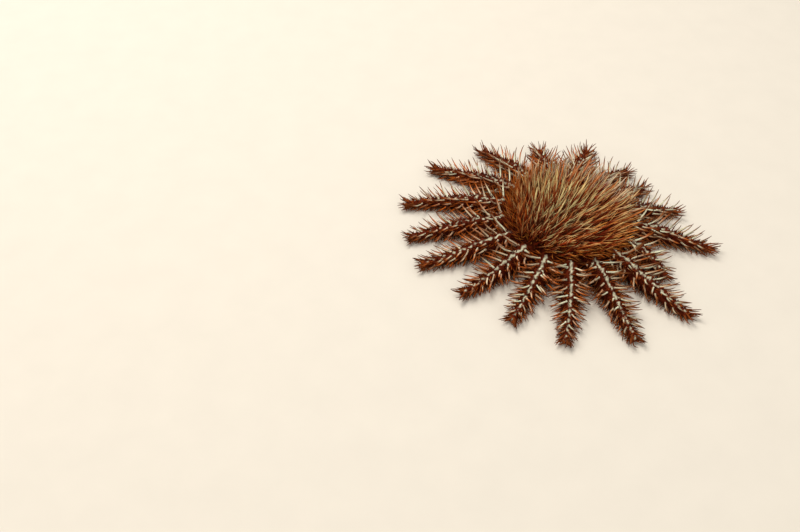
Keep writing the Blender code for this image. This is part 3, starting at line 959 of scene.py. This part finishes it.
def arm_shaft(starts, place):
    """Orange-brown or dusky shafts, dusky more often to the right and dark at the arms' tips."""
    drawn = drawn_for(starts, seed=16, low=-0.5, high=0.5)
    shaft = blend(BROWN, DUSK, 0.3 + 0.5 * starts[:, 0] / (100.0 * MM) + drawn)
    return blend(shaft, TIP, ramp(place, start=0.65, width=0.3))


def arm_spine_colours(along, number, under, starts):
    """Pale along those of the crest, partly painted highlight, brown along the others, dark rust at the
    point.
    """
    arm, place, across, share = locate(starts)
    beside = ramp(np.abs(across) / (share * ARM_WIDTH), start=0.28, width=0.2)
    shaft = arm_shaft(starts, place)
    browner = beside + drawn_for(starts, seed=11, low=-0.2, high=0.4) + 0.2 * place
    # pale feet of the crest's spines, partly painted highlight
    foot = blend(PALE_AND_HIGHLIGHT, shaft, browner)
    foot = blend(foot, TIP, ramp(place, start=0.80, width=0.1))
    from_place = drawn_for(starts, seed=12, low=0.12, high=0.6)[number]
    colour = blend(foot[number], shaft[number], ramp(along, from_place, width=0.3))
    colour = blend(colour, POINT, ramp(along, start=0.58, width=0.3))
    return colour * tones(number, seed=5, low=0.7, high=1.2)


def fine_spine_colours(along, number, under, starts):
    """From the skin's colour at the foot, its painted shade included, through the shaft's to dark rust
    at the point.
    """
    shaft = arm_shaft(starts, locate(starts)[1])
    colour = blend(under[number], shaft[number], ramp(along, start=0.0, width=0.35))
    colour = blend(colour, POINT, ramp(along, start=0.4, width=0.5))
    return colour * tones(number, seed=6, low=0.25, high=1.1)


def crest_fine_colours(along, number, under, starts):
    """Dark rust, browner towards the point."""
    browner = ramp(along, start=0.2, width=0.6)
    colour = blend(np.multiply(RUST, 1.6), np.multiply(BROWN, 0.75), browner)
    return colour * tones(number, seed=15, low=0.3, high=1.1)


def disc_spine_colours(along, number, under, starts):
    """Deep red at the foot; olive left of the middle, tan, ginger or mauve round it."""
    across, back = starts[:, 0] / DISC_APOTHEM, starts[:, 1] / DISC_APOTHEM
    drawn = np.random.default_rng(7).normal(0.0, DISC_TINT_STRAY, (4, len(starts)))
    colour = blend(TAN, GINGER, 0.2 - 0.8 * back + drawn[0])
    colour = blend(colour, UMBER, 0.9 * back - 0.9 * across - 0.3 + drawn[3])
    colour = blend(colour, MAUVE, 1.5 * back + 0.9 * across - 0.35 + drawn[1])
    from_olive = (across - OLIVE_MIDDLE[0]) ** 2 + OLIVE_DEEPER * (back - OLIVE_MIDDLE[1]) ** 2
    colour = blend(colour, OLIVE, OLIVE_STRENGTH * np.exp(-from_olive / OLIVE_REACH) + drawn[2])
    colour = blend(colour, BROWN, -2.2 * across - 1.3 + drawn[3])
    rusty = np.random.default_rng(14).random(len(starts)) < DISC_RUSTY_SHARE
    colour = blend(colour, np.multiply(BROWN, 0.7), DISC_RUSTY_STRENGTH * rusty)
    red_up_to = drawn_for(starts, seed=13, low=0.05, high=0.45) + 0.3 * np.clip(-back, 0.0, 1.0)
    red = 1.0 - ramp(along, red_up_to[number], width=0.25)
    colour = blend(colour[number], np.multiply(RUST, 3.2), red)
    colour = blend(colour, np.multiply(BROWN, 0.8), ramp(along, start=0.8, width=0.35))
    return colour * tones(number, seed=8, low=0.45, high=1.6)


def rim_spine_colours(along, number, under, starts):
    """Deep red at the foot, ginger or orange-brown along the shaft, dark at the point."""
    drawn = drawn_for(starts, seed=17, low=0.0, high=1.0)
    shaft = blend(np.multiply(BROWN, 0.8), np.multiply(GINGER, 0.8), drawn)
    colour = blend(np.multiply(RUST, 1.6), shaft[number], ramp(along, start=0.0, width=0.5))
    colour = blend(colour, POINT, ramp(along, start=0.8, width=0.3))
    return colour * tones(number, seed=18, low=0.2, high=1.15)


def fringe_colours(along, number, under, starts):
    """Rust at the foot and brown at the point."""
    return blend(RUST, np.multiply(BROWN, 0.8), along) * tones(number, seed=9, low=0.4, high=1.0)


def down_colours(along, number, under, starts):
    """The skin's colour, its painted shade included, a little lighter at the point."""
    colour = blend(under[number], np.multiply(RUST, 1.5), 0.6 * along)
    return colour * tones(number, seed=10, low=0.4, high=1.1)


def foot_colours(along, number, under, starts):
    """Amber tube feet with paler ends."""
    return blend(AMBER, UNDER, along)


def noise_material(name, roughness, scale, detail):
    """A material, its shader, its own places, and a noise over them."""
    material = bpy.data.materials.new(name)
    material.use_nodes = True
    nodes = material.node_tree.nodes
    shader = nodes["Principled BSDF"]
    shader.inputs["Roughness"].default_value = roughness
    where = nodes.new("ShaderNodeTexCoord").outputs["Object"]
    noise = nodes.new("ShaderNodeTexNoise")
    noise.inputs["Scale"].default_value = scale
    noise.inputs["Detail"].default_value = detail
    material.node_tree.links.new(where, noise.inputs["Vector"])
    return material, shader, where, noise.outputs["Fac"]


def tinted_material(name, roughness, bump_size, bump_height, mottle):
    """A material that takes its colour from the mesh, with mottling and a fine grain."""
    material, shader, where, noise = noise_material(name, roughness, *MOTTLE_NOISE)
    nodes = material.node_tree.nodes
    links = material.node_tree.links
    shader.inputs["Specular IOR Level"].default_value = SHEEN
    tint = nodes.new("ShaderNodeVertexColor")
    tint.layer_name = "Tint"
    level = nodes.new("ShaderNodeMapRange")
    ends = (*MOTTLE_RANGE, 1.0 - mottle, 1.0 + mottle)
    for end, value in zip(("From Min", "From Max", "To Min", "To Max"), ends):
        level.inputs[end].default_value = value
    links.new(noise, level.inputs["Value"])
    mixed = nodes.new("ShaderNodeMix")
    mixed.data_type = "RGBA"
    mixed.blend_type = "MULTIPLY"
    mixed.inputs["Factor"].default_value = 1.0
    links.new(tint.outputs["Color"], mixed.inputs["A"])
    links.new(level.outputs["Result"], mixed.inputs["B"])
    links.new(mixed.outputs["Result"], shader.inputs["Base Color"])
    grain = nodes.new("ShaderNodeTexVoronoi")
    grain.inputs["Scale"].default_value = 1.0 / bump_size
    links.new(where, grain.inputs["Vector"])
    bump = nodes.new("ShaderNodeBump")
    bump.inputs["Strength"].default_value = BUMP_STRENGTH
    bump.inputs["Distance"].default_value = bump_height
    bump.invert = True
    links.new(grain.outputs["Distance"], bump.inputs["Height"])
    links.new(bump.outputs["Normal"], shader.inputs["Normal"])
    return material


def grow_down(points, normals, open_skin, chance):
    """Small soft fingers between the spines, standing on the skin."""
    ground = open_skin & (normals[:, 2] > DOWN_FACING) & (points[:, 2] > DOWN_ABOVE)
    picked = chance.choice(np.flatnonzero(ground), size=DOWN_COUNT, replace=False)
    stray = chance.normal(0.0, DOWN_STRAY, (DOWN_COUNT, 3))
    lengths = chance.uniform(*DOWN_LENGTHS, DOWN_COUNT)
    return [
        (points[at], points[at] + unit(normals[at] + stray[number]) * lengths[number], DOWN_RADIUS)
        for number, at in enumerate(picked)
    ]


def tube_feet(chance):
    """Two rows of tube feet in the groove under each arm."""
    spines = []
    for arm in range(ARM_COUNT):
        steps = int(arm_length(arm) * FEET_LAST_PLACE / FEET_SPACING)
        for step in range(steps):
            place = (step + 0.5) / steps * FEET_LAST_PLACE
            middle, forward, side = arm_frame(arm, place)
            share = float(arm_share(place))
            lift = float(arm_lift(place))
            for way in (-1.0, 1.0):
                flat = middle + side * way * FEET_ASIDE * share
                stray = side * way * FEET_SPLAY + forward * chance.uniform(-FEET_STRAY, FEET_STRAY)
                start = np.array((*flat, lift + FEET_ROOT_LEVEL * share))
                end = np.array((*(flat + stray), lift + FEET_SOLE_LEVEL))
                spines.append((start, end, FEET_RADIUS * (0.5 + 0.5 * share)))
    return spines


def mouth_ring():
    """A ring of small spines round the mouth."""
    spines = []
    for number in range(2 * ARM_COUNT):
        azimuth = FIRST_ARM + (number + 0.5) * 0.5 * ARM_STEP
        out = direction(azimuth)
        start = np.array((*(out * (MOUTH_RADIUS + MOUTH_SPINE_OUT)), MOUTH_SPINE_LEVELS[0]))
        end = np.array((*(out * MOUTH_SPINE_REACH * MOUTH_RADIUS), MOUTH_SPINE_LEVELS[1]))
        spines.append((start, end, MOUTH_SPINE_RADIUS))
    return spines


def make_floor():
    """Pale, fine-grained ground."""
    material, shader, where, noise = noise_material("floor", FLOOR_ROUGHNESS, *FLOOR_NOISE)
    links = material.node_tree.links
    mixed = material.node_tree.nodes.new("ShaderNodeMix")
    mixed.data_type = "RGBA"
    mixed.inputs["A"].default_value = (*np.multiply(FLOOR, FLOOR_DARKER), 1.0)
    mixed.inputs["B"].default_value = (*FLOOR, 1.0)
    links.new(noise, mixed.inputs["Factor"])
    links.new(mixed.outputs["Result"], shader.inputs["Base Color"])
    mesh = bpy.data.meshes.new("floor")
    corners = [(-1, -1), (1, -1), (1, 1), (-1, 1)]
    mesh.from_pydata([(x * FLOOR_HALF, y * FLOOR_HALF, 0.0) for x, y in corners], [], [(0, 1, 2, 3)])
    mesh.materials.append(material)
    floor = add_object("floor", mesh)


def add_light(name, place, size, power, colour):
    """A soft square light that faces the animal."""
    light = bpy.data.lights.new(name, "AREA")
    light.size = size
    light.energy = power
    light.color = colour
    made = add_object(name, light)
    made.location = place
    made.rotation_euler = (-Vector(place)).to_track_quat("-Z", "Y").to_euler()


def make_light():
    """A high soft key from the left, a fill from the right and a pale sky."""
    for light in LIGHTS:
        add_light(*light)
    world = bpy.data.worlds.new("sky")
    world.use_nodes = True
    sky = world.node_tree.nodes["Background"]
    sky.inputs["Color"].default_value = SKY
    sky.inputs["Strength"].default_value = SKY_STRENGTH
    bpy.context.scene.world = world
    bpy.context.scene.view_settings.view_transform = "Standard"


def make_camera():
    """Place the camera so that the disc's middle falls on its pixel of the photo."""
    tilt = math.radians(CAMERA_ELEVATION)
    look = np.array((0.0, math.cos(tilt), -math.sin(tilt)))
    right = np.array((1.0, 0.0, 0.0))
    up = np.cross(right, look)
    across = MIDDLE_PIXEL[0] - 0.5 * PHOTO_SIZE[0]
    rise = 0.5 * PHOTO_SIZE[1] - MIDDLE_PIXEL[1]
    ray = unit(look * FOCAL_PIXELS + right * across + up * rise)
    camera = bpy.data.cameras.new("camera")
    camera.sensor_width = SENSOR_WIDTH
    camera.lens = FOCAL_PIXELS / PHOTO_SIZE[0] * SENSOR_WIDTH
    camera.clip_start = 0.01
    made = add_object("camera", camera)
    made.location = MIDDLE - ray * CAMERA_DISTANCE
    made.rotation_euler = Euler((math.radians(90.0) - tilt, 0.0, 0.0))
    bpy.context.scene.camera = made


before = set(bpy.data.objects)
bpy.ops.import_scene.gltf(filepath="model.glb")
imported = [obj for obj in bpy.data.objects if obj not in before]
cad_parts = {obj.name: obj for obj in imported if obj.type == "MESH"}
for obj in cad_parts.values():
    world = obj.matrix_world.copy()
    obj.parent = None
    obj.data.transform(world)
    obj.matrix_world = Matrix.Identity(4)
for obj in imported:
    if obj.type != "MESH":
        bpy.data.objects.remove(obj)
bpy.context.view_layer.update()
chance = random.Random(SEED)
field = Field()
place_disc_spines(field, chance)
for arm in range(ARM_COUNT):
    place_arm_spines(field, chance, arm)
large = list(zip(field.spines, field.nodes))
disc_large = [spine for spine, node in large if node < 0]
arm_large = thinner_to_tips([spine for spine, node in large if node >= 0])
arm_fine = fine_arm_spines(random.Random(SEED + 1), FINE_ROWS, 1.0)
crest_fine = fine_arm_spines(random.Random(SEED + 6), CREST_FINE_ROWS, CREST_FINE_SHORTER)
disc_fine = fine_disc_spines(random.Random(SEED + 3))
disc_rim = rim_spines(random.Random(SEED + 5))
fringe = fringe_spines(random.Random(SEED + 4))
feet = tube_feet(random.Random(SEED + 2))

roots = np.array([spine[0] for spine, node in large])
root_arm, root_place, root_across, root_share = locate(roots)
on_crest = (root_arm >= 0) & (np.abs(root_across) < CREST_ROOT_ASIDE * root_share * ARM_WIDTH)
crest_roots = roots[on_crest]
near_disc = root_place[on_crest] < CREST_MOUND_LAST_PLACE
picked = np.random.default_rng(SEED).random(len(crest_roots)) < CREST_MOUND_SHARE
crest_mounds = crest_roots[near_disc & picked]
skin_look = tinted_material("skin", 0.7, bump_size=1.3 * MM, bump_height=0.5 * MM, mottle=0.25)
spine_look = tinted_material("spines", 0.6, bump_size=0.7 * MM, bump_height=0.12 * MM, mottle=0.15)
skin_points, skin_normals, skin_on_arm, open_skin = make_skin(skin_look, roots)
arm_down, disc_down = [
    grow_down(skin_points, skin_normals, open_skin & own, np.random.default_rng(SEED + extra))
    for own, extra in ((skin_on_arm, 8), (~skin_on_arm, 9))
]

# Pieces: name, spines, profile, sides, depth of roots, colours, and mean, spread and seed of bends
coat = (
    ("arm_spines", arm_large, LARGE_PROFILE, 8, ARM_SPINE_SUNK, arm_spine_colours, (-0.08, 0.05, 1)),
    ("disc_spines", disc_large, LARGE_PROFILE, 8, DISC_SPINE_SUNK, disc_spine_colours, (-0.02, 0.02, 2)),
    ("arm_fine_spines", arm_fine, FINE_PROFILE, 6, 1.5 * MM, fine_spine_colours, (-0.04, 0.04, 3)),
    ("crest_fine_spines", crest_fine, FINE_PROFILE, 6, 1.5 * MM, crest_fine_colours, (-0.04, 0.04, 10)),
    ("disc_fine_spines", disc_fine, FINE_PROFILE, 6, 2.0 * MM, disc_spine_colours, (-0.02, 0.03, 4)),
    ("disc_rim_spines", disc_rim, FINE_PROFILE, 6, 2.0 * MM, rim_spine_colours, (-0.04, 0.04, 9)),
    ("fringe", fringe, FRINGE_PROFILE, 5, 1.0 * MM, fringe_colours, (0.0, 0.02, 5)),
    ("arm_down", arm_down, DOWN_PROFILE, 4, 0.5 * MM, down_colours, (0.0, 0.0, 6)),
    ("disc_down", disc_down, DOWN_PROFILE, 4, 0.5 * MM, down_colours, (0.0, 0.0, 6)),
    ("tube_feet", feet, FOOT_PROFILE, 6, 0.8 * MM, foot_colours, (0.0, 0.0, 7)),
    ("mouth_spines", mouth_ring(), FINE_PROFILE, 6, 0.8 * MM, foot_colours, (0.0, 0.0, 8)),
)
for row in coat:
    grow(*row, skin_look if row[2] is DOWN_PROFILE else spine_look)

make_floor()
make_light()
make_camera()
